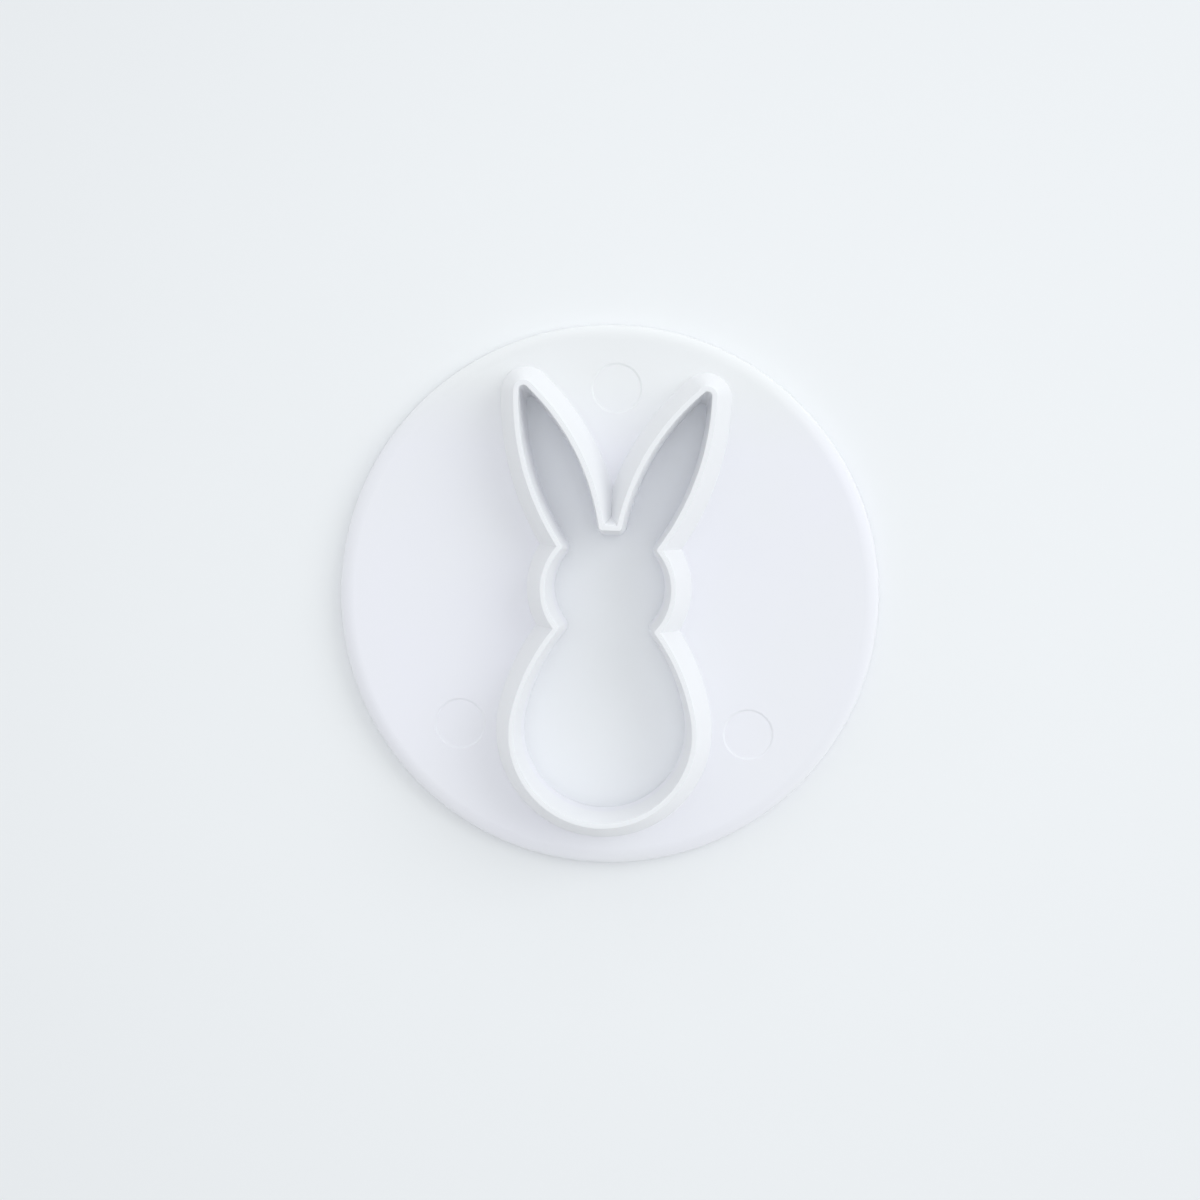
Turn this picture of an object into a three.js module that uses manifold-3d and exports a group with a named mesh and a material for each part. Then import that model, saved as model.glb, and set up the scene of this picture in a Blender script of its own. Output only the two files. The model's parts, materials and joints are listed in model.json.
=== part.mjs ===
// Fondant cutter: a flat round press plate that carries a rabbit-shaped cutting wall.
// Millimetres, +Z up. The plate's underside lies on Z = 0 with its centre at the origin,
// and the rabbit's ears point along +Y.

import * as THREE from "three";
import { mergeVertices } from "three/addons/utils/BufferGeometryUtils.js";
import Module from "manifold-3d";

const wasm = await Module();
wasm.setup();

const degrees = THREE.MathUtils.degToRad;

// Press plate
const plateThickness = 4;
const plateTopEdgeRadius = 2;
const plateUnderEdgeRadius = 0.4;
const plateBorder = 3.82; // from the farthest point of the wall's foot out to the rim

// Cutting wall
const wallHeight = 9; // above the plate
const lipWidth = 0.7;
const outerSlopeWidth = 2.55; // in plan, from the lip down to the plate
const holeDraftAngle = degrees(4.5); // the hole narrows towards the table

// Rabbit outline at the lip's inner edge. The right half is described and then mirrored.
const bellyRadius = 13.75;
const bellyCentreY = -21.1;
const flankRadius = 31.6;
const cheekRadius = 9.15;
const cheekCentreX = 0.55;
const cheekCentreY = 1.2;
const waistAngle = degrees(-43); // where the flank meets the cheek
const earRootAngle = degrees(44); // where the ear leaves the cheek
const earOuterRadius = 41.3;
const earInnerRadius = 36.9;
const earTipX = 14.84; // where the ear's two sides would meet in a point
const earTipY = 33.04;
const earTipRadius = 0.6;
const notchHalfWidth = 1.7; // flat between the ears
const notchY = 10.35;
const innerCornerRadius = 0.5; // at the waist, the ear root and the notch

// Rib under the wall that locates it in a groove of the plate
const ribWidth = 1.2;
const ribDepth = 1.2;
const ribSetback = 1.4; // from the hole's edge to the rib
const ribClearance = 0.3;

// Round marks that ejector pins leave in the plate's top face
const pinMarkRadius = 4;
const pinMarkDepth = 0.15;
const pinMarkTopY = 32.5;
const pinMarkSideX = 22.7;
const pinMarkSideY = -21.05;

// Facets
const rimFacets = 120;
const edgeFacets = 6;
const pinMarkFacets = 40;
const slopeSteps = 3;
const cutOverrun = 1; // how far a cutting body reaches past the face it opens
const coincidence = 1e-4; // points closer than this are one

// Derived heights and widths
const lipHeight = plateThickness + wallHeight;
const footReach = lipWidth + outerSlopeWidth;
const holeInsetAt = (height) => -(lipHeight - height) * Math.tan(holeDraftAngle);
const ribInside = holeInsetAt(plateThickness) + ribSetback;
const ribOutside = ribInside + ribWidth;

const point = (x, y) => new THREE.Vector2(x, y);
const polar = (centre, radius, angle) => point(
  centre.x + radius * Math.cos(angle),
  centre.y + radius * Math.sin(angle),
);

// Points from start to end on the circle about centre, the short way round.
function arcPoints(centre, start, end, steps) {
  const first = start.clone().sub(centre);
  const last = end.clone().sub(centre);
  const turn = Math.atan2(first.cross(last), first.dot(last));
  const points = [];
  for (let i = 0; i <= steps; i += 1) {
    points.push(first.clone().rotateAround(point(0, 0), (turn * i) / steps).add(centre));
  }
  return points;
}

// A stretch of the outline that bulges outward. Growing the outline grows its radius.
class RoundStretch {
  constructor(centre, radius) {
    this.centre = centre;
    this.radius = radius;
  }

  grown(distance) {
    return new RoundStretch(this.centre, this.radius + distance);
  }

  nearest(target) {
    return target.clone().sub(this.centre).setLength(this.radius).add(this.centre);
  }
}

// A straight stretch along X with the inside below it.
class LevelStretch {
  constructor(y) {
    this.y = y;
  }

  grown(distance) {
    return new LevelStretch(this.y + distance);
  }

  nearest(target) {
    return point(target.x, this.y);
  }
}

// Centre of the circle of the given radius through start and end, to the left of that direction.
function centreThrough(start, end, radius) {
  const half = end.clone().sub(start).multiplyScalar(0.5);
  const depth = Math.sqrt(radius ** 2 - half.lengthSq());
  const left = point(-half.y, half.x).setLength(depth);
  return start.clone().add(half).add(left);
}

// Where two circles cross, to the left of the direction from the first centre to the second.
function circlesCross(first, second) {
  const between = second.centre.clone().sub(first.centre);
  const distance = between.length();
  const along = (distance ** 2 + first.radius ** 2 - second.radius ** 2) / (2 * distance);
  const aside = Math.sqrt(first.radius ** 2 - along ** 2);
  const left = point(-between.y, between.x).setLength(aside);
  return between.setLength(along).add(left).add(first.centre);
}

// Where two neighbouring stretches cross, on the side of the wanted point.
function meet(first, second, wanted) {
  if (second instanceof LevelStretch) {
    const rise = second.y - first.centre.y;
    const run = Math.sqrt(first.radius ** 2 - rise ** 2);
    const side = Math.sign(wanted.x - first.centre.x);
    return point(first.centre.x + side * run, second.y);
  }
  const crossings = [circlesCross(first, second), circlesCross(second, first)];
  crossings.sort((a, b) => a.distanceTo(wanted) - b.distanceTo(wanted));
  return crossings[0];
}

// The rabbit's right half: its corners, and the stretches between them from belly to notch
const cheekCentre = point(cheekCentreX, cheekCentreY);
const waist = polar(cheekCentre, cheekRadius, waistAngle);
const earRoot = polar(cheekCentre, cheekRadius, earRootAngle);
const earTip = point(earTipX, earTipY);
const notchCorner = point(notchHalfWidth, notchY);

const belly = new RoundStretch(point(0, bellyCentreY), bellyRadius);
// The flank runs smoothly out of the belly and ends at the waist.
const flankCentre = circlesCross(
  new RoundStretch(belly.centre, flankRadius - bellyRadius),
  new RoundStretch(waist, flankRadius),
);
const flank = new RoundStretch(flankCentre, flankRadius);
const cheek = new RoundStretch(cheekCentre, cheekRadius);
const earOuter = new RoundStretch(centreThrough(earRoot, earTip, earOuterRadius), earOuterRadius);
const earInner = new RoundStretch(centreThrough(earTip, notchCorner, earInnerRadius), earInnerRadius);
const notch = new LevelStretch(notchY);
const hip = belly.nearest(belly.centre.clone().multiplyScalar(2).sub(flankCentre));

// Each stretch with its facets, and the corner to the next. An inward corner points into the hole.
const inward = { kind: "inward", radius: innerCornerRadius, cornerSteps: 3 };
const outward = { kind: "outward", radius: earTipRadius, cornerSteps: 6 };
const smooth = { kind: "smooth", radius: 0, cornerSteps: 1 };
const rabbit = [
  { stretch: belly, next: flank, steps: 18, corner: hip, ...smooth },
  { stretch: flank, next: cheek, steps: 10, corner: waist, ...inward },
  { stretch: cheek, next: earOuter, steps: 12, corner: earRoot, ...inward },
  { stretch: earOuter, next: earInner, steps: 14, corner: earTip, ...outward },
  { stretch: earInner, next: notch, steps: 14, corner: notchCorner, ...inward },
];

// Where the corner after a stretch starts and ends once the outline has grown, and its pivot.
function cornerAt(growth, { stretch, next, corner, kind, radius }) {
  const before = stretch.grown(growth);
  const after = next.grown(growth);
  if (kind === "smooth") {
    const joint = before.nearest(corner);
    return { start: joint, end: joint, pivot: corner };
  }
  const bulge = kind === "outward" ? 1 : -1;
  const pivot = meet(stretch.grown(-bulge * radius), next.grown(-bulge * radius), corner);
  const isRound = radius + bulge * growth > 0;
  const start = isRound ? before.nearest(pivot) : meet(before, after, corner);
  const end = isRound ? after.nearest(pivot) : start;
  if (end.x > 0) {
    return { start, end, pivot };
  }
  // The two ears have grown together, so this stretch ends on the centre line.
  const rise = Math.sqrt(before.radius ** 2 - before.centre.x ** 2);
  const crease = point(0, before.centre.y + rise);
  return { start: crease, end: crease, pivot };
}

// The right half of the outline grown by a distance, up to the flat between the ears.
// It has the same number of points at any growth.
function halfOutline(growth) {
  const points = [point(0, bellyCentreY - bellyRadius - growth)];
  rabbit.forEach((side) => {
    const { start, end, pivot } = cornerAt(growth, side);
    points.push(...arcPoints(side.stretch.centre, points.at(-1), start, side.steps).slice(1));
    points.push(...arcPoints(pivot, start, end, side.cornerSteps).slice(1));
  });
  return points;
}

// The whole outline grown by a distance, at a height, counterclockwise seen from above.
function outlineLoop(growth, height) {
  const right = halfOutline(growth);
  const left = right.slice(1).reverse().map(({ x, y }) => point(-x, y));
  return [...right, ...left].map(({ x, y }) => new THREE.Vector3(x, y, height));
}

// Growth at which the flat between the ears is used up and their slopes start to meet in a crease.
function creaseGrowth() {
  const { centre, radius } = earInner;
  const rise = notchY - centre.y;
  return (centre.x ** 2 + rise ** 2 - radius ** 2) / (2 * (radius - rise));
}

// Closed geometry without doubled vertices or collapsed triangles.
function weld(positions, indices) {
  const loose = new THREE.BufferGeometry();
  loose.setAttribute("position", new THREE.Float32BufferAttribute(positions, 3));
  loose.setIndex(indices);
  const geometry = mergeVertices(loose, coincidence);
  const merged = geometry.index.array;
  const kept = [];
  for (let i = 0; i < merged.length; i += 3) {
    const [a, b, c] = merged.subarray(i, i + 3);
    if (a !== b && b !== c && c !== a) {
      kept.push(a, b, c);
    }
  }
  geometry.setIndex(kept);
  return geometry;
}

// A ring skinned over loops of equal length, the last loop joined to the first.
function ringGeometry(loops) {
  const count = loops[0].length;
  const positions = loops.flat().flatMap((vertex) => vertex.toArray());
  const indices = [];
  loops.forEach((loop, row) => {
    const nextRow = (row + 1) % loops.length;
    for (let i = 0; i < count; i += 1) {
      const j = (i + 1) % count;
      const [a, b] = [row * count + i, row * count + j];
      const [c, d] = [nextRow * count + j, nextRow * count + i];
      indices.push(a, b, c, a, c, d);
    }
  });
  return weld(positions, indices);
}

// Flat triangles that fill a loop, as indices into it. Neighbours that coincide count once.
function fillLoop(loop) {
  const kept = [...loop.keys()].filter((i) => loop[i].distanceTo(loop.at(i - 1)) > coincidence);
  const contour = kept.map((i) => point(loop[i].x, loop[i].y));
  const triangles = THREE.ShapeUtils.triangulateShape(contour, []);
  return triangles.map((triangle) => triangle.map((corner) => kept[corner]));
}

// A plug skinned between a lower and an upper loop and closed by flat caps.
function plugGeometry(lower, upper) {
  const count = lower.length;
  const positions = [...lower, ...upper].flatMap((vertex) => vertex.toArray());
  const indices = [];
  for (let i = 0; i < count; i += 1) {
    const j = (i + 1) % count;
    indices.push(i, j, count + j, i, count + j, count + i);
  }
  fillLoop(lower).forEach(([a, b, c]) => {
    indices.push(c, b, a);
  });
  fillLoop(upper).forEach(([a, b, c]) => {
    indices.push(count + a, count + b, count + c);
  });
  return weld(positions, indices);
}

// A body turned about Z from a profile of (radius, height) points that starts and ends on the axis.
function turnedGeometry(profile, facets) {
  const lathe = new THREE.LatheGeometry(profile, facets).rotateX(Math.PI / 2);
  return weld(lathe.attributes.position.array, [...lathe.index.array]);
}

function toSolid(geometry) {
  const mesh = new wasm.Mesh({
    numProp: 3,
    vertProperties: new Float32Array(geometry.attributes.position.array),
    triVerts: new Uint32Array(geometry.index.array),
  });
  return new wasm.Manifold(mesh);
}

function toGeometry(solid) {
  const { vertProperties, triVerts } = solid.getMesh();
  const geometry = new THREE.BufferGeometry();
  geometry.setAttribute("position", new THREE.BufferAttribute(vertProperties, 3));
  geometry.setIndex(new THREE.BufferAttribute(triVerts, 1));
  return geometry;
}

// Cutting wall: wedge section with a flat lip, carried round the rabbit, its rib below
function cutterBladeGeometry() {
  const slopeStart = Math.min(creaseGrowth(), footReach);
  const growths = [];
  for (let i = 0; i < slopeSteps; i += 1) {
    growths.push(THREE.MathUtils.lerp(footReach, slopeStart, i / slopeSteps));
  }
  growths.push(slopeStart, lipWidth);
  const slopeLoops = growths.map((growth) => {
    const height = lipHeight - (wallHeight * (growth - lipWidth)) / outerSlopeWidth;
    return outlineLoop(growth, height);
  });
  const ribBottom = plateThickness - ribDepth;
  return ringGeometry([
    ...slopeLoops,
    outlineLoop(0, lipHeight),
    outlineLoop(holeInsetAt(plateThickness), plateThickness),
    outlineLoop(ribInside, plateThickness),
    outlineLoop(ribInside, ribBottom),
    outlineLoop(ribOutside, ribBottom),
    outlineLoop(ribOutside, plateThickness),
  ]);
}

// Disc of the plate before its cuts, sized to carry the whole foot of the wall
function plateDisc() {
  const foot = outlineLoop(footReach, 0);
  const rim = Math.max(...foot.map((vertex) => vertex.length())) + plateBorder;
  const underCentre = point(rim - plateUnderEdgeRadius, plateUnderEdgeRadius);
  const topCentre = point(rim - plateTopEdgeRadius, plateThickness - plateTopEdgeRadius);
  const profile = [
    point(0, 0),
    ...arcPoints(underCentre, point(underCentre.x, 0), point(rim, underCentre.y), edgeFacets / 2),
    ...arcPoints(topCentre, point(rim, topCentre.y), point(topCentre.x, plateThickness), edgeFacets),
    point(0, plateThickness),
  ];
  return toSolid(turnedGeometry(profile, rimFacets));
}

function holePlug() {
  const under = -cutOverrun;
  const over = plateThickness + cutOverrun;
  return toSolid(plugGeometry(outlineLoop(holeInsetAt(under), under), outlineLoop(holeInsetAt(over), over)));
}

function ribGroove() {
  const floor = plateThickness - ribDepth - ribClearance;
  const over = plateThickness + cutOverrun;
  return toSolid(ringGeometry([
    outlineLoop(ribOutside + ribClearance, floor),
    outlineLoop(ribOutside + ribClearance, over),
    outlineLoop(ribInside - ribClearance, over),
    outlineLoop(ribInside - ribClearance, floor),
  ]));
}

function pinMark(x, y) {
  const floor = plateThickness - pinMarkDepth;
  const over = plateThickness + cutOverrun;
  const profile = [point(0, floor), point(pinMarkRadius, floor), point(pinMarkRadius, over), point(0, over)];
  return toSolid(turnedGeometry(profile, pinMarkFacets).translate(x, y, 0));
}

// Press plate: rounded disc with the rabbit's opening, the rib's groove and the pin marks
function pressPlateGeometry() {
  const cuts = [
    holePlug(),
    ribGroove(),
    pinMark(0, pinMarkTopY),
    pinMark(-pinMarkSideX, pinMarkSideY),
    pinMark(pinMarkSideX, pinMarkSideY),
  ];
  return toGeometry(cuts.reduce((plate, cut) => plate.subtract(cut), plateDisc()));
}

const whitePlastic = { color: 0xeef0f5, roughness: 0.42, metalness: 0 };

function piece(name, geometry) {
  const mesh = new THREE.Mesh(geometry, new THREE.MeshStandardMaterial(whitePlastic));
  mesh.name = name;
  return mesh;
}

const fondantCutter = new THREE.Group();
fondantCutter.add(piece("press_plate", pressPlateGeometry()));
fondantCutter.add(piece("cutter_blade", cutterBladeGeometry()));

export default fondantCutter;
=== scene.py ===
"""Fondant cutter: a round press plate and a rabbit-shaped cutting wall, moulded in white plastic."""

import cmath
import json
import math
from typing import NamedTuple

import bmesh
import bpy
from mathutils import Matrix, Vector

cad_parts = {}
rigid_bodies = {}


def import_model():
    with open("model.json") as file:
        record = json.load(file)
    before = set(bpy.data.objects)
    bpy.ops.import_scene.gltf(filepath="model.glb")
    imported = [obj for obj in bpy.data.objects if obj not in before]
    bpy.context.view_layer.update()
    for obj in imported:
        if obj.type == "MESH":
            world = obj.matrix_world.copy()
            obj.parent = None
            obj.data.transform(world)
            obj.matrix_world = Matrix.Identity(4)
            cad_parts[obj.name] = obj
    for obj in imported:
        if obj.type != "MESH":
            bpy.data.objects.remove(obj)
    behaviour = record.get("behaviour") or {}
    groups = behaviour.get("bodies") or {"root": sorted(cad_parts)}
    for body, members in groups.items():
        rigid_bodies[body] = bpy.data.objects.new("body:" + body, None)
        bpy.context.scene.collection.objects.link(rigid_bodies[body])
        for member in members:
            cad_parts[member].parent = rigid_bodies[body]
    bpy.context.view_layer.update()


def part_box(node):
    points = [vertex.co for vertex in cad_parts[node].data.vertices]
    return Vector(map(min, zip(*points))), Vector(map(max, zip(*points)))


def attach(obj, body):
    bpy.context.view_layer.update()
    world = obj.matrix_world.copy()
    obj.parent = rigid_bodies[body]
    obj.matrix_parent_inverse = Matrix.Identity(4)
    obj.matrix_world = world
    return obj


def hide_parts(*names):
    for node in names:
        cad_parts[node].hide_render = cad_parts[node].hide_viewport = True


bl_info = {
    "name": "Fondant Cutter",
    "version": (1, 0, 0),
    "blender": (4, 5, 0),
    "location": "3D View > Sidebar > Cutter",
    "description": "Models a rabbit fondant cutter over its CAD frame and sets it on a lit table",
    "category": "Object",
}

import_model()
plate_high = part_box("press_plate")[1]
wall_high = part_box("cutter_blade")[1]

BODY = "root"

# How finely round forms are divided
BELLY_STEPS = 40
FLANK_STEPS = 16
CHEEK_STEPS = 26
EAR_STEPS = 28
EAR_TIP_STEPS = 14
INNER_CORNER_STEPS = 6
SLOPE_ROWS = 6
LIP_EDGE_STEPS = 4
RIM_STEPS = 240
RIM_EDGE_STEPS = 12
UNDER_EDGE_STEPS = 4
PIN_MARK_STEPS = 64

# Working values of the modelling steps, in metres
SEED_SIZE = 0.001
NEARLY_FLAT = 1.0
CUT_OVERRUN = 0.001
WELD_DISTANCE = 1e-6
PLACE_TOLERANCE = 1e-5

# Edges that turn by more than this stay crisp.
SHARP_ANGLE = math.radians(32)

# Skin of the plastic: waves per metre of its noises, and how strongly they show
FLOW_SCALE = 45
GRAIN_SCALE = 4200
GLOSS_SWING = 0.06
GRAIN_STRENGTH = 0.08
GRAIN_DEPTH = 0.00002

# Skin of the table, in the same way
TABLE_CLOUD_SCALE = 60
TABLE_GLOSS_SCALE = 300
TABLE_GRAIN_SCALE = 2500
TABLE_GRAIN_STRENGTH = 0.05
TABLE_SMOOTHEST = 0.85
TABLE_ROUGHEST = 0.95

# Light bounces that the deep, pale hole needs
DIFFUSE_BOUNCES = 16
ALL_BOUNCES = 20

# How far every lamp hangs from the cutter, in metres
LAMP_DISTANCE = 1.0


class SoftLamp(NamedTuple):
    """A round soft lamp that faces the cutter, placed by two angles in degrees."""

    name: str
    azimuth: float
    elevation: float
    width: float
    watts: float


# Azimuths run from the rabbit's right side towards its ears.
SOFT_LAMPS = [
    SoftLamp("top_lamp", azimuth=0, elevation=90, width=0.6, watts=1.91),
    SoftLamp("key_lamp", azimuth=25, elevation=40, width=0.8, watts=2.71),
]


def length(name, description, default):
    """A size in metres that the sidebar can change."""
    return bpy.props.FloatProperty(
        name=name, description=description, default=default, unit="LENGTH", precision=5
    )


def angle(name, description, degrees):
    """An angle that the sidebar can change, given here in degrees."""
    return bpy.props.FloatProperty(
        name=name, description=description, default=math.radians(degrees), subtype="ANGLE"
    )


def number(name, description, default):
    """A plain number that the sidebar can change."""
    return bpy.props.FloatProperty(name=name, description=description, default=default, precision=4)


def colour(name, description, default):
    """A colour in linear light that the sidebar can change."""
    return bpy.props.FloatVectorProperty(
        name=name, description=description, default=default, subtype="COLOR", min=0, max=1
    )


class RabbitOutline(bpy.types.PropertyGroup):
    """Rabbit at the lip's inner edge: its right half, which is mirrored"""

    belly_radius: length("Belly Radius", "Radius of the round belly", 0.01375)
    belly_centre_y: length("Belly Centre Y", "Place of the belly along the rabbit", -0.0211)
    flank_radius: length("Flank Radius", "Radius of the side between belly and waist", 0.0316)
    cheek_radius: length("Cheek Radius", "Radius of the side of the head", 0.00915)
    cheek_centre_x: length("Cheek Centre X", "Place of the cheek across the rabbit", 0.00055)
    cheek_centre_y: length("Cheek Centre Y", "Place of the cheek along the rabbit", 0.0012)
    waist_angle: angle("Waist Angle", "Where the flank meets the cheek", -43)
    ear_root_angle: angle("Ear Root Angle", "Where the ear leaves the cheek", 44)
    ear_outer_radius: length("Ear Outer Radius", "Radius of the ear's outer side", 0.0413)
    ear_inner_radius: length("Ear Inner Radius", "Radius of the ear's inner side", 0.0369)
    ear_tip_x: length("Ear Tip X", "Where the ear's two sides would meet, across", 0.01484)
    ear_tip_y: length("Ear Tip Y", "Where the ear's two sides would meet, along", 0.03304)
    ear_tip_radius: length("Ear Tip Radius", "Rounding of the ear's tip", 0.00075)
    ear_draft_share: number("Ear Draft Share", "Share of the hole's draft that the ear's sides take", 0.6)
    notch_half_width: length("Notch Half Width", "Half of the flat between the ears", 0.0017)
    notch_y: length("Notch Y", "Place of the flat between the ears", 0.01035)
    inner_corner_radius: length("Inner Corner Radius", "Rounding at waist, ear root and notch", 0.0005)


class WallSection(bpy.types.PropertyGroup):
    """Wedge section that is carried round the rabbit"""

    foot_height: length("Foot Height", "Height of the plate's top face", plate_high.z)
    lip_height: length("Lip Height", "Height of the cutting lip", wall_high.z)
    lip_width: length("Lip Width", "Width of the flat lip", 0.0008)
    slope_width: length("Slope Width", "Width of the outer slope in plan", 0.00245)
    lip_edge_radius: length("Lip Edge Radius", "Rounding of the lip's two edges", 0.00012)
    hole_draft: angle("Hole Draft", "Slant of the hole, which narrows towards the table", 4.5)
    hole_edge_radius: length("Hole Edge Radius", "Rounding of the hole's edge on the table", 0.0004)


class PlateSizes(bpy.types.PropertyGroup):
    """Round plate with its ejector pin marks"""

    radius: length("Radius", "Radius of the plate", plate_high.x)
    thickness: length("Thickness", "Thickness of the plate", plate_high.z)
    top_edge_radius: length("Top Edge Radius", "Rounding of the rim on top", 0.0024)
    under_edge_radius: length("Under Edge Radius", "Rounding of the rim on the table", 0.0004)
    pin_mark_radius: length("Pin Mark Radius", "Radius of an ejector pin mark", 0.004)
    pin_mark_depth: length("Pin Mark Depth", "How far a mark is sunk into the plate", 0.0002)
    pin_mark_edge_width: length("Pin Mark Edge Width", "Width of a mark's sloping edge in plan", 0.0003)
    pin_mark_top_y: length("Pin Mark Top Y", "Place of the mark above the ears", 0.0325)
    pin_mark_side_x: length("Pin Mark Side X", "Place of the two side marks, across", 0.0227)
    pin_mark_side_y: length("Pin Mark Side Y", "Place of the two side marks, along", -0.02105)


class PlasticFinish(bpy.types.PropertyGroup):
    """Matte white plastic, a little bluer in the plate than in the wall"""

    plate_pale: colour("Plate Pale", "Colour of the plate where it is lightest", (0.863, 0.866, 0.886))
    plate_deep: colour("Plate Deep", "Colour of the plate where it is deepest", (0.860, 0.855, 0.905))
    # Plate Plain is a painted highlight tint: the less blue white of the brightly lit ear side, not a
    # colour of the plastic.
    plate_painted_lit_tint: colour("Plate Plain", "Colour of the plate beyond the ears", (0.853, 0.859, 0.868))
    painted_tint_start: length("Plain Start", "Where the plate begins to turn plain, along the rabbit", 0.022)
    painted_tint_end: length("Plain End", "Where the plate has turned plain, along the rabbit", 0.033)
    wall_pale: colour("Wall Pale", "Colour of the wall where it is lightest", (0.864, 0.868, 0.884))
    wall_deep: colour("Wall Deep", "Colour of the wall where it is deepest", (0.854, 0.857, 0.879))
    plate_roughness: number("Plate Roughness", "Mean roughness of the plate", 0.5)
    wall_roughness: number("Wall Roughness", "Mean roughness of the wall", 0.42)
    chalkiness: number("Chalkiness", "How evenly light leaves the surface at steep angles", 1.0)


class TableStage(bpy.types.PropertyGroup):
    """Pale table, soft light and the camera above it"""

    camera_distance: length("Camera Distance", "From the plate's centre to the lens", 0.4)
    camera_lean_right: angle("Camera Lean Right", "Lean of the view towards the right side", 1.22)
    camera_lean_up: angle("Camera Lean Up", "Lean of the view towards the ears", 2.62)
    camera_roll: angle("Camera Roll", "Turn of the camera, which leans the rabbit to the right", 2.15)
    view_width: length("View Width", "Width of the view at the plate's centre", 0.19043)
    view_shift_x: number("View Shift X", "Shift of the view across, in frame widths", -0.00789)
    view_shift_y: number("View Shift Y", "Shift of the view along, in frame widths", -0.0047)
    table_pale: colour("Table Pale", "Colour of the table where it is lightest", (0.866, 0.875, 0.889))
    table_deep: colour("Table Deep", "Colour of the table where it is deepest", (0.858, 0.867, 0.881))
    # Table Far and the fade distances set a painted falloff of light: the table is painted darker away from
    # the cutter.
    table_painted_dim: colour("Table Far", "Colour of the table away from the cutter", (0.838, 0.846, 0.860))
    painted_dim_start: length("Fade Start", "Distance at which the table begins to fade", 0.07)
    painted_dim_end: length("Fade End", "Distance at which the table has faded", 0.14)
    table_size: length("Table Size", "Width of the table", 4.0)
    light_colour: colour("Light Colour", "Colour of the sky and the lamps", (0.960, 0.988, 1.0))
    sky_dim: number("Sky Dim", "Strength of the sky behind the rabbit's belly", 0.452)
    sky_bright: number("Sky Bright", "Strength of the sky beyond the rabbit's ears", 0.937)
    lamp_strength: number("Lamp Strength", "Factor on the power of all lamps", 1.0)


class Circle(NamedTuple):
    """A circle in plan, with its centre as the complex number x + iy."""

    centre: complex
    radius: float

    def grown(self, distance):
        """The circle grown by a distance, or drawn in where that is below zero."""
        return Circle(self.centre, self.radius + distance)

    def nearest(self, point):
        """The place on the circle that is nearest to a point."""
        spoke = point - self.centre
        return self.centre + spoke * self.radius / abs(spoke)


class Corner(NamedTuple):
    """The end of a stretch. It bulges out of the rabbit (1) or into it (-1), or is smooth (0)."""

    point: complex
    bulge: int
    radius: float
    steps: int


class Stretch(NamedTuple):
    """A round side of the rabbit, up to its corner with the next side, and its share of the draft."""

    circle: Circle
    steps: int
    corner: Corner
    draft_share: float = 1

    def grown(self, growth):
        """The side's circle grown outwards, or drawn in by its share of the hole's draft."""
        return self.circle.grown(max(growth, growth * self.draft_share))


class Arc(NamedTuple):
    """A turn about a pivot, in radians, counterclockwise seen from above."""

    pivot: complex
    turn: float
    steps: int


def crossing(first, second, near):
    """Where two circles cross, on the side of a given point."""
    between = second.centre - first.centre
    distance = abs(between)
    along = (distance**2 + first.radius**2 - second.radius**2) / (2 * distance)
    aside = math.sqrt(first.radius**2 - along**2)
    points = [first.centre + between / distance * complex(along, side) for side in (aside, -aside)]
    return min(points, key=lambda point: abs(point - near))


def circle_between(start, end, radius):
    """The circle through two points that has its centre to the left of the way from start to end."""
    half = (end - start) / 2
    depth = math.sqrt(radius**2 - abs(half) ** 2)
    return Circle(start + half + 1j * half / abs(half) * depth, radius)


def arc_from(pivot, begin, end, steps):
    """The turn about a pivot that takes one point to another."""
    return Arc(pivot, cmath.phase((end - pivot) / (begin - pivot)), steps)


def rabbit_half(rabbit):
    """The sides of the right half from the belly to the flat between the ears."""
    cheek = Circle(complex(rabbit.cheek_centre_x, rabbit.cheek_centre_y), rabbit.cheek_radius)
    waist = cheek.centre + cmath.rect(cheek.radius, rabbit.waist_angle)
    ear_root = cheek.centre + cmath.rect(cheek.radius, rabbit.ear_root_angle)
    ear_tip = complex(rabbit.ear_tip_x, rabbit.ear_tip_y)
    notch_corner = complex(rabbit.notch_half_width, rabbit.notch_y)
    belly = Circle(complex(0, rabbit.belly_centre_y), rabbit.belly_radius)
    # The flank runs smoothly out of the belly and ends at the waist.
    flank_centre = crossing(
        Circle(belly.centre, rabbit.flank_radius - rabbit.belly_radius),
        Circle(waist, rabbit.flank_radius),
        near=belly.centre - rabbit.flank_radius,
    )
    flank = Circle(flank_centre, rabbit.flank_radius)
    hip = flank.nearest(belly.centre)
    ear_outer = circle_between(ear_root, ear_tip, rabbit.ear_outer_radius)
    ear_inner = circle_between(ear_tip, notch_corner, rabbit.ear_inner_radius)
    notch = Circle(complex(0, rabbit.notch_y - NEARLY_FLAT), NEARLY_FLAT)
    inner = rabbit.inner_corner_radius
    ear_share = rabbit.ear_draft_share
    return [
        Stretch(belly, BELLY_STEPS, Corner(hip, 0, 0, 0)),
        Stretch(flank, FLANK_STEPS, Corner(waist, -1, inner, INNER_CORNER_STEPS)),
        Stretch(cheek, CHEEK_STEPS, Corner(ear_root, -1, inner, INNER_CORNER_STEPS)),
        Stretch(ear_outer, EAR_STEPS, Corner(ear_tip, 1, rabbit.ear_tip_radius, EAR_TIP_STEPS), ear_share),
        Stretch(ear_inner, EAR_STEPS, Corner(notch_corner, -1, inner, INNER_CORNER_STEPS), ear_share),
        Stretch(notch, 1, Corner(complex(0, rabbit.notch_y), 0, 0, 0)),
    ]


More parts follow.
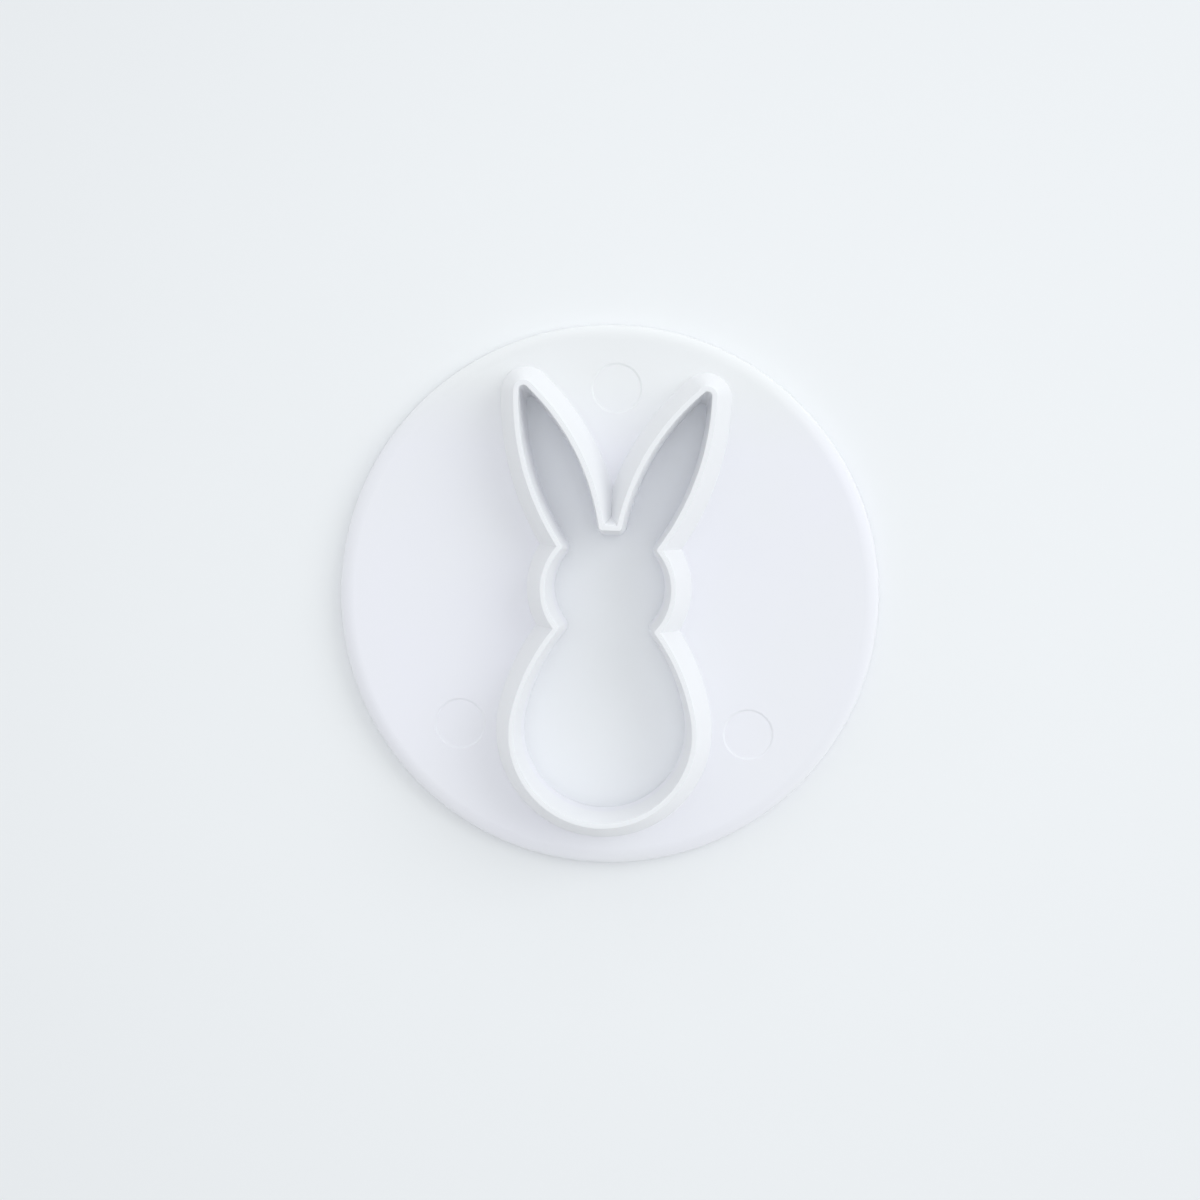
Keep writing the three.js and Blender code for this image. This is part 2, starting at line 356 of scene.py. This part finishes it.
def grown_corner(stretch, after, growth):
    """Where the corner at the end of a grown stretch begins and ends, and the pivot it turns about."""
    corner = stretch.corner
    side = stretch.grown(growth)
    next_side = after.grown(growth)
    # A corner that bulges out keeps its rounding all the way down the hole.
    radius = corner.radius + (max(growth, 0) if corner.bulge > 0 else -growth)
    setback = -corner.bulge * radius
    pivot = crossing(side.grown(setback), next_side.grown(setback), corner.point)
    if radius > 0:
        begin = side.nearest(pivot)
        end = next_side.nearest(pivot)
    else:
        begin = crossing(side, next_side, corner.point)
        end = begin
    if end.real <= 0:
        # The two ears have grown together, so the side ends on the centre line.
        rise = math.sqrt(side.radius**2 - side.centre.real**2)
        begin = complex(0, side.centre.imag + rise)
        end = begin
    return begin, end, pivot


def half_outline(stretches, growth):
    """First point of the right half grown by a distance, and the arcs that follow it."""
    belly = stretches[0].grown(growth)
    first = belly.centre - 1j * belly.radius
    here = first
    arcs = []
    for stretch, after in zip(stretches, stretches[1:]):
        if stretch.corner.bulge == 0:
            end = stretch.grown(growth).nearest(stretch.corner.point)
            arcs.append(arc_from(stretch.circle.centre, here, end, stretch.steps))
        else:
            begin, end, pivot = grown_corner(stretch, after, growth)
            arcs.append(arc_from(stretch.circle.centre, here, begin, stretch.steps))
            arcs.append(arc_from(pivot, begin, end, stretch.corner.steps))
        here = end
    notch = stretches[-1]
    arcs.append(arc_from(notch.circle.centre, here, complex(0, here.imag), notch.steps))
    return first, arcs


def crease_growth(stretches):
    """Growth at which the flat between the ears is used up and their slopes meet in a crease."""
    ear_inner, notch = stretches[-2].circle, stretches[-1]
    rise = notch.corner.point.imag - ear_inner.centre.imag
    spare = ear_inner.centre.real**2 + rise**2 - ear_inner.radius**2
    return spare / (2 * (ear_inner.radius - rise))


def rounded(before, corner, after, radius, steps):
    """Points of the arc that rounds the corner of a profile."""
    back = (before - corner) / abs(before - corner)
    ahead = (after - corner) / abs(after - corner)
    half_angle = abs(cmath.phase(ahead / back)) / 2
    middle = (back + ahead) / abs(back + ahead)
    centre = corner + middle * radius / math.sin(half_angle)
    start = corner + back * radius / math.tan(half_angle)
    end = corner + ahead * radius / math.tan(half_angle)
    turn = cmath.phase((end - centre) / (start - centre))
    return [centre + (start - centre) * cmath.rect(1, turn * i / steps) for i in range(steps + 1)]


def hole_growth(section, height):
    """How far the drafted hole has grown, below zero, from the lip down to a height."""
    return -(section.lip_height - height) * math.tan(section.hole_draft)


def wall_profile(section, crease):
    """The wall's section as growth + i height, from the slope's foot over the lip into the hole."""
    foot = complex(section.lip_width + section.slope_width, section.foot_height)
    lip_outer = complex(section.lip_width, section.lip_height)
    lip_inner = complex(0, section.lip_height)
    hole_foot = complex(hole_growth(section, section.foot_height), section.foot_height)
    crease_share = min(max((foot.real - crease) / section.slope_width, 0), 1)
    slope = [foot + (lip_outer - foot) * crease_share * row / SLOPE_ROWS for row in range(SLOPE_ROWS + 1)]
    return [
        *slope,
        *rounded(foot, lip_outer, lip_inner, section.lip_edge_radius, LIP_EDGE_STEPS),
        *rounded(lip_outer, lip_inner, hole_foot, section.lip_edge_radius, LIP_EDGE_STEPS),
        hole_foot,
    ]


def plug_profile(section):
    """The body that cuts the hole through the plate, flared where it leaves a rounded edge."""
    over = section.foot_height + CUT_OVERRUN
    top = complex(hole_growth(section, over), over)
    edge = complex(hole_growth(section, 0), 0)
    flare = rounded(top, edge, edge + CUT_OVERRUN, section.hole_edge_radius, LIP_EDGE_STEPS)
    return [top, *flare, flare[-1] - 1j * CUT_OVERRUN]


def begin_piece(name):
    """An empty mesh at the origin, open for editing."""
    bpy.ops.object.select_all(action="DESELECT")
    bpy.ops.mesh.primitive_plane_add(size=SEED_SIZE)
    piece = bpy.context.object
    piece.name = name
    bpy.ops.object.mode_set(mode="EDIT")
    bpy.ops.mesh.select_mode(type="VERT")
    bpy.ops.mesh.delete(type="VERT")
    return piece


def draw_row(stretches, growth, height):
    """Draws the half outline at one height by spinning a point, and keeps it as a vertex group."""
    first, arcs = half_outline(stretches, growth)
    bpy.ops.mesh.select_all(action="DESELECT")
    bpy.ops.mesh.primitive_plane_add(size=SEED_SIZE, location=(first.real, first.imag, height))
    bpy.ops.mesh.merge(type="CENTER")
    for arc in arcs:
        pivot = (arc.pivot.real, arc.pivot.imag, height)
        # The spin operator turns clockwise.
        bpy.ops.mesh.spin(steps=arc.steps, angle=-arc.turn, center=pivot, axis=(0, 0, 1))
    bpy.ops.mesh.select_linked()
    bpy.ops.object.vertex_group_assign_new()


def bridge_rows(piece, first, second):
    """Skins the faces between two drawn rows."""
    bpy.ops.mesh.select_all(action="DESELECT")
    for row in (first, second):
        piece.vertex_groups.active_index = row
        bpy.ops.object.vertex_group_select()
    bpy.ops.mesh.bridge_edge_loops()


def skin_profile(name, stretches, profile, closed):
    """Carries a profile round the right half of the rabbit and mirrors it to the left."""
    piece = begin_piece(name)
    for point in profile:
        draw_row(stretches, point.real, point.imag)
    for row in range(1, len(profile)):
        bridge_rows(piece, row - 1, row)
    if closed:
        bridge_rows(piece, len(profile) - 1, 0)
    bpy.ops.object.vertex_group_remove(all=True)
    bpy.ops.object.mode_set(mode="OBJECT")
    bpy.ops.object.modifier_add(type="MIRROR")
    mirror = piece.modifiers[-1]
    mirror.merge_threshold = PLACE_TOLERANCE
    bpy.ops.object.modifier_apply(modifier=mirror.name)
    return piece


def select_edges(piece, wanted):
    """Selects the edges that have both ends where a test wants them."""
    bpy.ops.mesh.select_mode(type="EDGE")
    bpy.ops.mesh.select_all(action="DESELECT")
    mesh = bmesh.from_edit_mesh(piece.data)
    for edge in mesh.edges:
        if all(wanted(vertex.co) for vertex in edge.verts):
            edge.select_set(True)
    bmesh.update_edit_mesh(piece.data)


def at_height(height):
    """A test for places at one height."""
    return lambda place: abs(place.z - height) < PLACE_TOLERANCE


def close_piece():
    """Welds the open piece's doubled points and turns its faces outwards."""
    bpy.ops.mesh.select_all(action="SELECT")
    bpy.ops.mesh.remove_doubles(threshold=WELD_DISTANCE)
    bpy.ops.mesh.dissolve_degenerate(threshold=WELD_DISTANCE)
    bpy.ops.mesh.select_all(action="SELECT")
    bpy.ops.mesh.normals_make_consistent(inside=False)


def subtract(piece, cutter):
    """Cuts one body out of a piece and deletes it."""
    bpy.context.view_layer.objects.active = piece
    bpy.ops.object.modifier_add(type="BOOLEAN")
    cut = piece.modifiers[-1]
    cut.operation = "DIFFERENCE"
    cut.solver = "EXACT"
    cut.object = cutter
    bpy.ops.object.modifier_apply(modifier=cut.name)
    bpy.data.objects.remove(cutter)


def finish_piece(piece, node, material):
    """Smooths a piece with crisp edges, gives it its material and sets it in place of its CAD node."""
    bpy.ops.object.select_all(action="DESELECT")
    piece.select_set(True)
    bpy.context.view_layer.objects.active = piece
    bpy.ops.object.shade_smooth_by_angle(angle=SHARP_ANGLE)
    bpy.ops.object.modifier_add(type="WEIGHTED_NORMAL")
    weighted = piece.modifiers[-1]
    weighted.keep_sharp = True
    bpy.ops.object.modifier_apply(modifier=weighted.name)
    piece.data.materials.clear()
    piece.data.materials.append(material)
    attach(piece, BODY)
    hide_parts(node)


class CUTTER_OT_cutting_wall(bpy.types.Operator):
    """Model the wedge wall that follows the rabbit and ends in the cutting lip"""

    bl_idname = "cutter.cutting_wall"
    bl_label = "Cutting Wall"

    def execute(self, context):
        section = context.scene.cutter_wall
        stretches = rabbit_half(context.scene.cutter_rabbit)
        profile = wall_profile(section, crease_growth(stretches))
        wall = skin_profile("cutting_wall", stretches, profile, closed=True)
        bpy.ops.object.mode_set(mode="EDIT")
        close_piece()
        bpy.ops.object.mode_set(mode="OBJECT")
        finish = context.scene.cutter_plastic
        plastic = plastic_material(
            "wall_plastic", finish.wall_pale, finish.wall_deep, finish.wall_roughness, finish.chalkiness
        )
        finish_piece(wall, "cutter_blade", plastic)
        return {"FINISHED"}


class CUTTER_OT_press_plate(bpy.types.Operator):
    """Model the round plate with its rabbit hole and its ejector pin marks"""

    bl_idname = "cutter.press_plate"
    bl_label = "Press Plate"

    def execute(self, context):
        sizes = context.scene.cutter_plate
        plate = self.rounded_disc(sizes)
        subtract(plate, self.hole_plug(context.scene))
        marks = [
            Vector((0, sizes.pin_mark_top_y, 0)),
            Vector((-sizes.pin_mark_side_x, sizes.pin_mark_side_y, 0)),
            Vector((sizes.pin_mark_side_x, sizes.pin_mark_side_y, 0)),
        ]
        for mark in marks:
            subtract(plate, self.pin(sizes, mark))
        finish = context.scene.cutter_plastic
        plastic = plastic_material(
            "plate_plastic", finish.plate_pale, finish.plate_deep, finish.plate_roughness, finish.chalkiness
        )
        # Painted highlight tint on the brighter ear side of the plate.
        paint_lit_side_tint(plastic, finish)
        finish_piece(plate, "press_plate", plastic)
        return {"FINISHED"}

    def rounded_disc(self, sizes):
        """The disc with its rim rounded on top and under."""
        bpy.ops.object.select_all(action="DESELECT")
        bpy.ops.mesh.primitive_cylinder_add(
            vertices=RIM_STEPS,
            radius=sizes.radius,
            depth=sizes.thickness,
            location=(0, 0, sizes.thickness / 2),
        )
        plate = bpy.context.object
        plate.name = "press_plate_moulding"
        bpy.ops.object.transform_apply(location=True)
        bpy.ops.object.mode_set(mode="EDIT")
        rims = [
            (sizes.thickness, sizes.top_edge_radius, RIM_EDGE_STEPS),
            (0, sizes.under_edge_radius, UNDER_EDGE_STEPS),
        ]
        for height, radius, steps in rims:
            select_edges(plate, at_height(height))
            bpy.ops.mesh.bevel(offset=radius, segments=steps, affect="EDGES", clamp_overlap=False)
        bpy.ops.object.mode_set(mode="OBJECT")
        return plate

    def hole_plug(self, scene):
        """The body that leaves the rabbit's hole."""
        stretches = rabbit_half(scene.cutter_rabbit)
        profile = plug_profile(scene.cutter_wall)
        plug = skin_profile("hole_plug", stretches, profile, closed=False)
        bpy.ops.object.mode_set(mode="EDIT")
        for end in (profile[0], profile[-1]):
            select_edges(plug, at_height(end.imag))
            bpy.ops.mesh.edge_face_add()
        close_piece()
        bpy.ops.object.mode_set(mode="OBJECT")
        return plug

    def pin(self, sizes, mark):
        """The body that leaves one pin mark with a sloping edge."""
        depth = sizes.pin_mark_depth + CUT_OVERRUN
        height = sizes.thickness + CUT_OVERRUN - depth / 2
        slope = sizes.pin_mark_edge_width / sizes.pin_mark_depth
        bpy.ops.object.select_all(action="DESELECT")
        bpy.ops.mesh.primitive_cone_add(
            vertices=PIN_MARK_STEPS,
            radius1=sizes.pin_mark_radius - sizes.pin_mark_edge_width,
            radius2=sizes.pin_mark_radius + slope * CUT_OVERRUN,
            depth=depth,
            location=(mark.x, mark.y, height),
        )
        return bpy.context.object


def add_node(tree, kind, **values):
    """A node in a tree, with some of its own settings."""
    node = tree.nodes.new(kind)
    for key, value in values.items():
        setattr(node, key, value)
    return node


def noise(tree, coordinates, scale, detail):
    """A noise texture on given coordinates."""
    texture = add_node(tree, "ShaderNodeTexNoise")
    texture.inputs["Scale"].default_value = scale
    texture.inputs["Detail"].default_value = detail
    tree.links.new(coordinates, texture.inputs["Vector"])
    return texture.outputs["Fac"]


def spread(tree, value, low, high, start=0, end=1):
    """A value between start and end, spread between two limits."""
    node = add_node(tree, "ShaderNodeMapRange")
    node.inputs["From Min"].default_value = start
    node.inputs["From Max"].default_value = end
    node.inputs["To Min"].default_value = low
    node.inputs["To Max"].default_value = high
    tree.links.new(value, node.inputs["Value"])
    return node.outputs["Result"]


def blend(tree, share, first, second):
    """A mix of two colours, each a plain colour or the output of another mix."""
    node = add_node(tree, "ShaderNodeMix", data_type="RGBA")
    first_socket, second_socket = (socket for socket in node.inputs if socket.type == "RGBA")
    for socket, given in ((first_socket, first), (second_socket, second)):
        if isinstance(given, bpy.types.NodeSocket):
            tree.links.new(given, socket)
        else:
            socket.default_value = (*given, 1)
    tree.links.new(share, node.inputs["Factor"])
    return next(socket for socket in node.outputs if socket.type == "RGBA")


def grain_bump(tree, height, strength, distance):
    """The normal of a surface with a fine grain."""
    bump = add_node(tree, "ShaderNodeBump")
    bump.inputs["Strength"].default_value = strength
    bump.inputs["Distance"].default_value = distance
    tree.links.new(height, bump.inputs["Height"])
    return bump.outputs["Normal"]


def moulded_skin():
    """Node group for a moulded surface: slow flow clouds, fine grain and the gloss that follows them."""
    name = "moulded_skin"
    if name in bpy.data.node_groups:
        return bpy.data.node_groups[name]
    group = bpy.data.node_groups.new(name, "ShaderNodeTree")
    sockets = [
        ("Roughness", "INPUT"),
        ("Cloud", "OUTPUT"),
        ("Roughness", "OUTPUT"),
        ("Height", "OUTPUT"),
    ]
    for socket, way in sockets:
        group.interface.new_socket(socket, in_out=way, socket_type="NodeSocketFloat")
    given = add_node(group, "NodeGroupInput")
    result = add_node(group, "NodeGroupOutput")
    place = add_node(group, "ShaderNodeTexCoord").outputs["Object"]
    cloud = noise(group, place, scale=FLOW_SCALE, detail=3)
    grain = noise(group, place, scale=GRAIN_SCALE, detail=2)
    gloss = add_node(group, "ShaderNodeMath", operation="ADD")
    group.links.new(given.outputs["Roughness"], gloss.inputs[0])
    group.links.new(spread(group, cloud, -GLOSS_SWING, GLOSS_SWING), gloss.inputs[1])
    group.links.new(cloud, result.inputs["Cloud"])
    group.links.new(gloss.outputs["Value"], result.inputs["Roughness"])
    group.links.new(grain, result.inputs["Height"])
    return group


def plastic_material(name, pale, deep, roughness, chalkiness):
    """White plastic of a given mean roughness, clouded between two colours."""
    material = bpy.data.materials.new(name)
    material.use_nodes = True
    tree = material.node_tree
    shader = tree.nodes["Principled BSDF"]
    skin = add_node(tree, "ShaderNodeGroup", node_tree=moulded_skin())
    skin.inputs["Roughness"].default_value = roughness
    tree.links.new(blend(tree, skin.outputs["Cloud"], deep, pale), shader.inputs["Base Color"])
    tree.links.new(skin.outputs["Roughness"], shader.inputs["Roughness"])
    grain = grain_bump(tree, skin.outputs["Height"], GRAIN_STRENGTH, GRAIN_DEPTH)
    tree.links.new(grain, shader.inputs["Normal"])
    shader.inputs["Diffuse Roughness"].default_value = chalkiness
    return material


def paint_lit_side_tint(material, finish):
    """Paints a less blue white on the plate beyond the rabbit's ears: a painted highlight tint for the
    brighter light on that side, not the plastic's own colour.
    """
    tree = material.node_tree
    base = tree.nodes["Principled BSDF"].inputs["Base Color"]
    place = add_node(tree, "ShaderNodeSeparateXYZ")
    tree.links.new(add_node(tree, "ShaderNodeTexCoord").outputs["Object"], place.inputs["Vector"])
    share = spread(tree, place.outputs["Y"], 0, 1, start=finish.painted_tint_start, end=finish.painted_tint_end)
    # The painted highlight tint takes over from the clouded colour beyond the ears.
    tree.links.new(blend(tree, share, base.links[0].from_socket, finish.plate_painted_lit_tint), base)


def table_material(settings):
    """Pale matte table with faint clouds, and painted shade that darkens it away from the cutter where the
    light falls off.
    """
    material = bpy.data.materials.new("pale_table")
    material.use_nodes = True
    tree = material.node_tree
    shader = tree.nodes["Principled BSDF"]
    place = add_node(tree, "ShaderNodeTexCoord").outputs["Object"]
    distance = add_node(tree, "ShaderNodeVectorMath", operation="LENGTH")
    tree.links.new(place, distance.inputs["Vector"])
    # Painted falloff of light: the table darkens from the cutter outwards.
    fade = spread(
        tree, distance.outputs["Value"], 0, 1, start=settings.painted_dim_start, end=settings.painted_dim_end
    )
    cloud = noise(tree, place, scale=TABLE_CLOUD_SCALE, detail=4)
    clouded = blend(tree, cloud, settings.table_deep, settings.table_pale)
    tree.links.new(blend(tree, fade, clouded, settings.table_painted_dim), shader.inputs["Base Color"])
    gloss = noise(tree, place, scale=TABLE_GLOSS_SCALE, detail=2)
    tree.links.new(spread(tree, gloss, TABLE_SMOOTHEST, TABLE_ROUGHEST), shader.inputs["Roughness"])
    height = noise(tree, place, scale=TABLE_GRAIN_SCALE, detail=2)
    grain = grain_bump(tree, height, TABLE_GRAIN_STRENGTH, GRAIN_DEPTH)
    tree.links.new(grain, shader.inputs["Normal"])
    shader.inputs["Specular IOR Level"].default_value = 0
    return material


class CUTTER_OT_stage(bpy.types.Operator):
    """Set the table, the soft light and the camera"""

    bl_idname = "cutter.stage"
    bl_label = "Table, Light and Camera"

    def execute(self, context):
        settings = context.scene.cutter_stage
        self.lay_table(settings)
        self.light(context.scene, settings)
        self.aim_camera(context.scene, settings)
        context.scene.view_settings.view_transform = "Standard"
        context.scene.cycles.diffuse_bounces = DIFFUSE_BOUNCES
        context.scene.cycles.max_bounces = ALL_BOUNCES
        return {"FINISHED"}

    def lay_table(self, settings):
        """The pale table that the cutter lies on."""
        bpy.ops.object.select_all(action="DESELECT")
        bpy.ops.mesh.primitive_plane_add(size=settings.table_size)
        table = bpy.context.object
        table.name = "table"
        table.data.materials.append(table_material(settings))

    def light(self, scene, settings):
        """A sky that brightens towards the rabbit's ears, and the soft lamps."""
        world = bpy.data.worlds.new("soft_sky")
        world.use_nodes = True
        tree = world.node_tree
        background = tree.nodes["Background"]
        background.inputs["Color"].default_value = (*settings.light_colour, 1)
        direction = add_node(tree, "ShaderNodeSeparateXYZ")
        view = add_node(tree, "ShaderNodeTexCoord").outputs["Generated"]
        tree.links.new(view, direction.inputs["Vector"])
        strength = spread(tree, direction.outputs["Y"], settings.sky_dim, settings.sky_bright, start=-1)
        tree.links.new(strength, background.inputs["Strength"])
        scene.world = world
        for lamp in SOFT_LAMPS:
            self.hang_lamp(lamp, settings)

    def hang_lamp(self, lamp, settings):
        """One round lamp that faces the cutter."""
        azimuth, elevation = math.radians(lamp.azimuth), math.radians(lamp.elevation)
        flat = math.cos(elevation)
        towards = Vector((flat * math.cos(azimuth), flat * math.sin(azimuth), math.sin(elevation)))
        bpy.ops.object.select_all(action="DESELECT")
        bpy.ops.object.light_add(
            type="AREA",
            location=towards * LAMP_DISTANCE,
            rotation=towards.to_track_quat("Z", "Y").to_euler(),
        )
        light = bpy.context.object
        light.name = lamp.name
        light.visible_camera = False
        light.data.shape = "DISK"
        light.data.size = lamp.width
        light.data.energy = lamp.watts * settings.lamp_strength
        light.data.color = settings.light_colour

    def aim_camera(self, scene, settings):
        """The camera almost straight above the plate."""
        lean = (math.tan(settings.camera_lean_right), math.tan(settings.camera_lean_up), 1)
        back = Vector(lean).normalized()
        upright = Vector((-math.sin(settings.camera_roll), math.cos(settings.camera_roll), 0))
        up = (upright - back * upright.dot(back)).normalized()
        right = up.cross(back)
        turn = Matrix((right, up, back)).transposed().to_4x4()
        bpy.ops.object.camera_add()
        camera = bpy.context.object
        camera.name = "photo_camera"
        camera.matrix_world = Matrix.Translation(back * settings.camera_distance) @ turn
        camera.data.lens = camera.data.sensor_width * settings.camera_distance / settings.view_width
        camera.data.shift_x = settings.view_shift_x
        camera.data.shift_y = settings.view_shift_y
        scene.camera = camera


class CUTTER_PT_sidebar(bpy.types.Panel):
    """Sizes and finishes of the cutter, and the steps that build it"""

    bl_idname = "CUTTER_PT_sidebar"
    bl_label = "Fondant Cutter"
    bl_space_type = "VIEW_3D"
    bl_region_type = "UI"
    bl_category = "Cutter"

    def draw(self, context):
        for operator in OPERATORS:
            self.layout.operator(operator.bl_idname)
        for setting, group in SETTINGS.items():
            box = self.layout.box()
            box.label(text=group.__doc__)
            for name in group.__annotations__:
                box.prop(getattr(context.scene, setting), name)


SETTINGS = {
    "cutter_rabbit": RabbitOutline,
    "cutter_wall": WallSection,
    "cutter_plate": PlateSizes,
    "cutter_plastic": PlasticFinish,
    "cutter_stage": TableStage,
}
OPERATORS = [CUTTER_OT_press_plate, CUTTER_OT_cutting_wall, CUTTER_OT_stage]
CLASSES = [*SETTINGS.values(), *OPERATORS, CUTTER_PT_sidebar]


def register():
    for cls in CLASSES:
        bpy.utils.register_class(cls)
    for setting, group in SETTINGS.items():
        setattr(bpy.types.Scene, setting, bpy.props.PointerProperty(type=group))


def unregister():
    for setting in SETTINGS:
        delattr(bpy.types.Scene, setting)
    for cls in reversed(CLASSES):
        bpy.utils.unregister_class(cls)


def main():
    register()
    bpy.ops.cutter.press_plate()
    bpy.ops.cutter.cutting_wall()
    bpy.ops.cutter.stage()


if __name__ == "__main__":
    main()
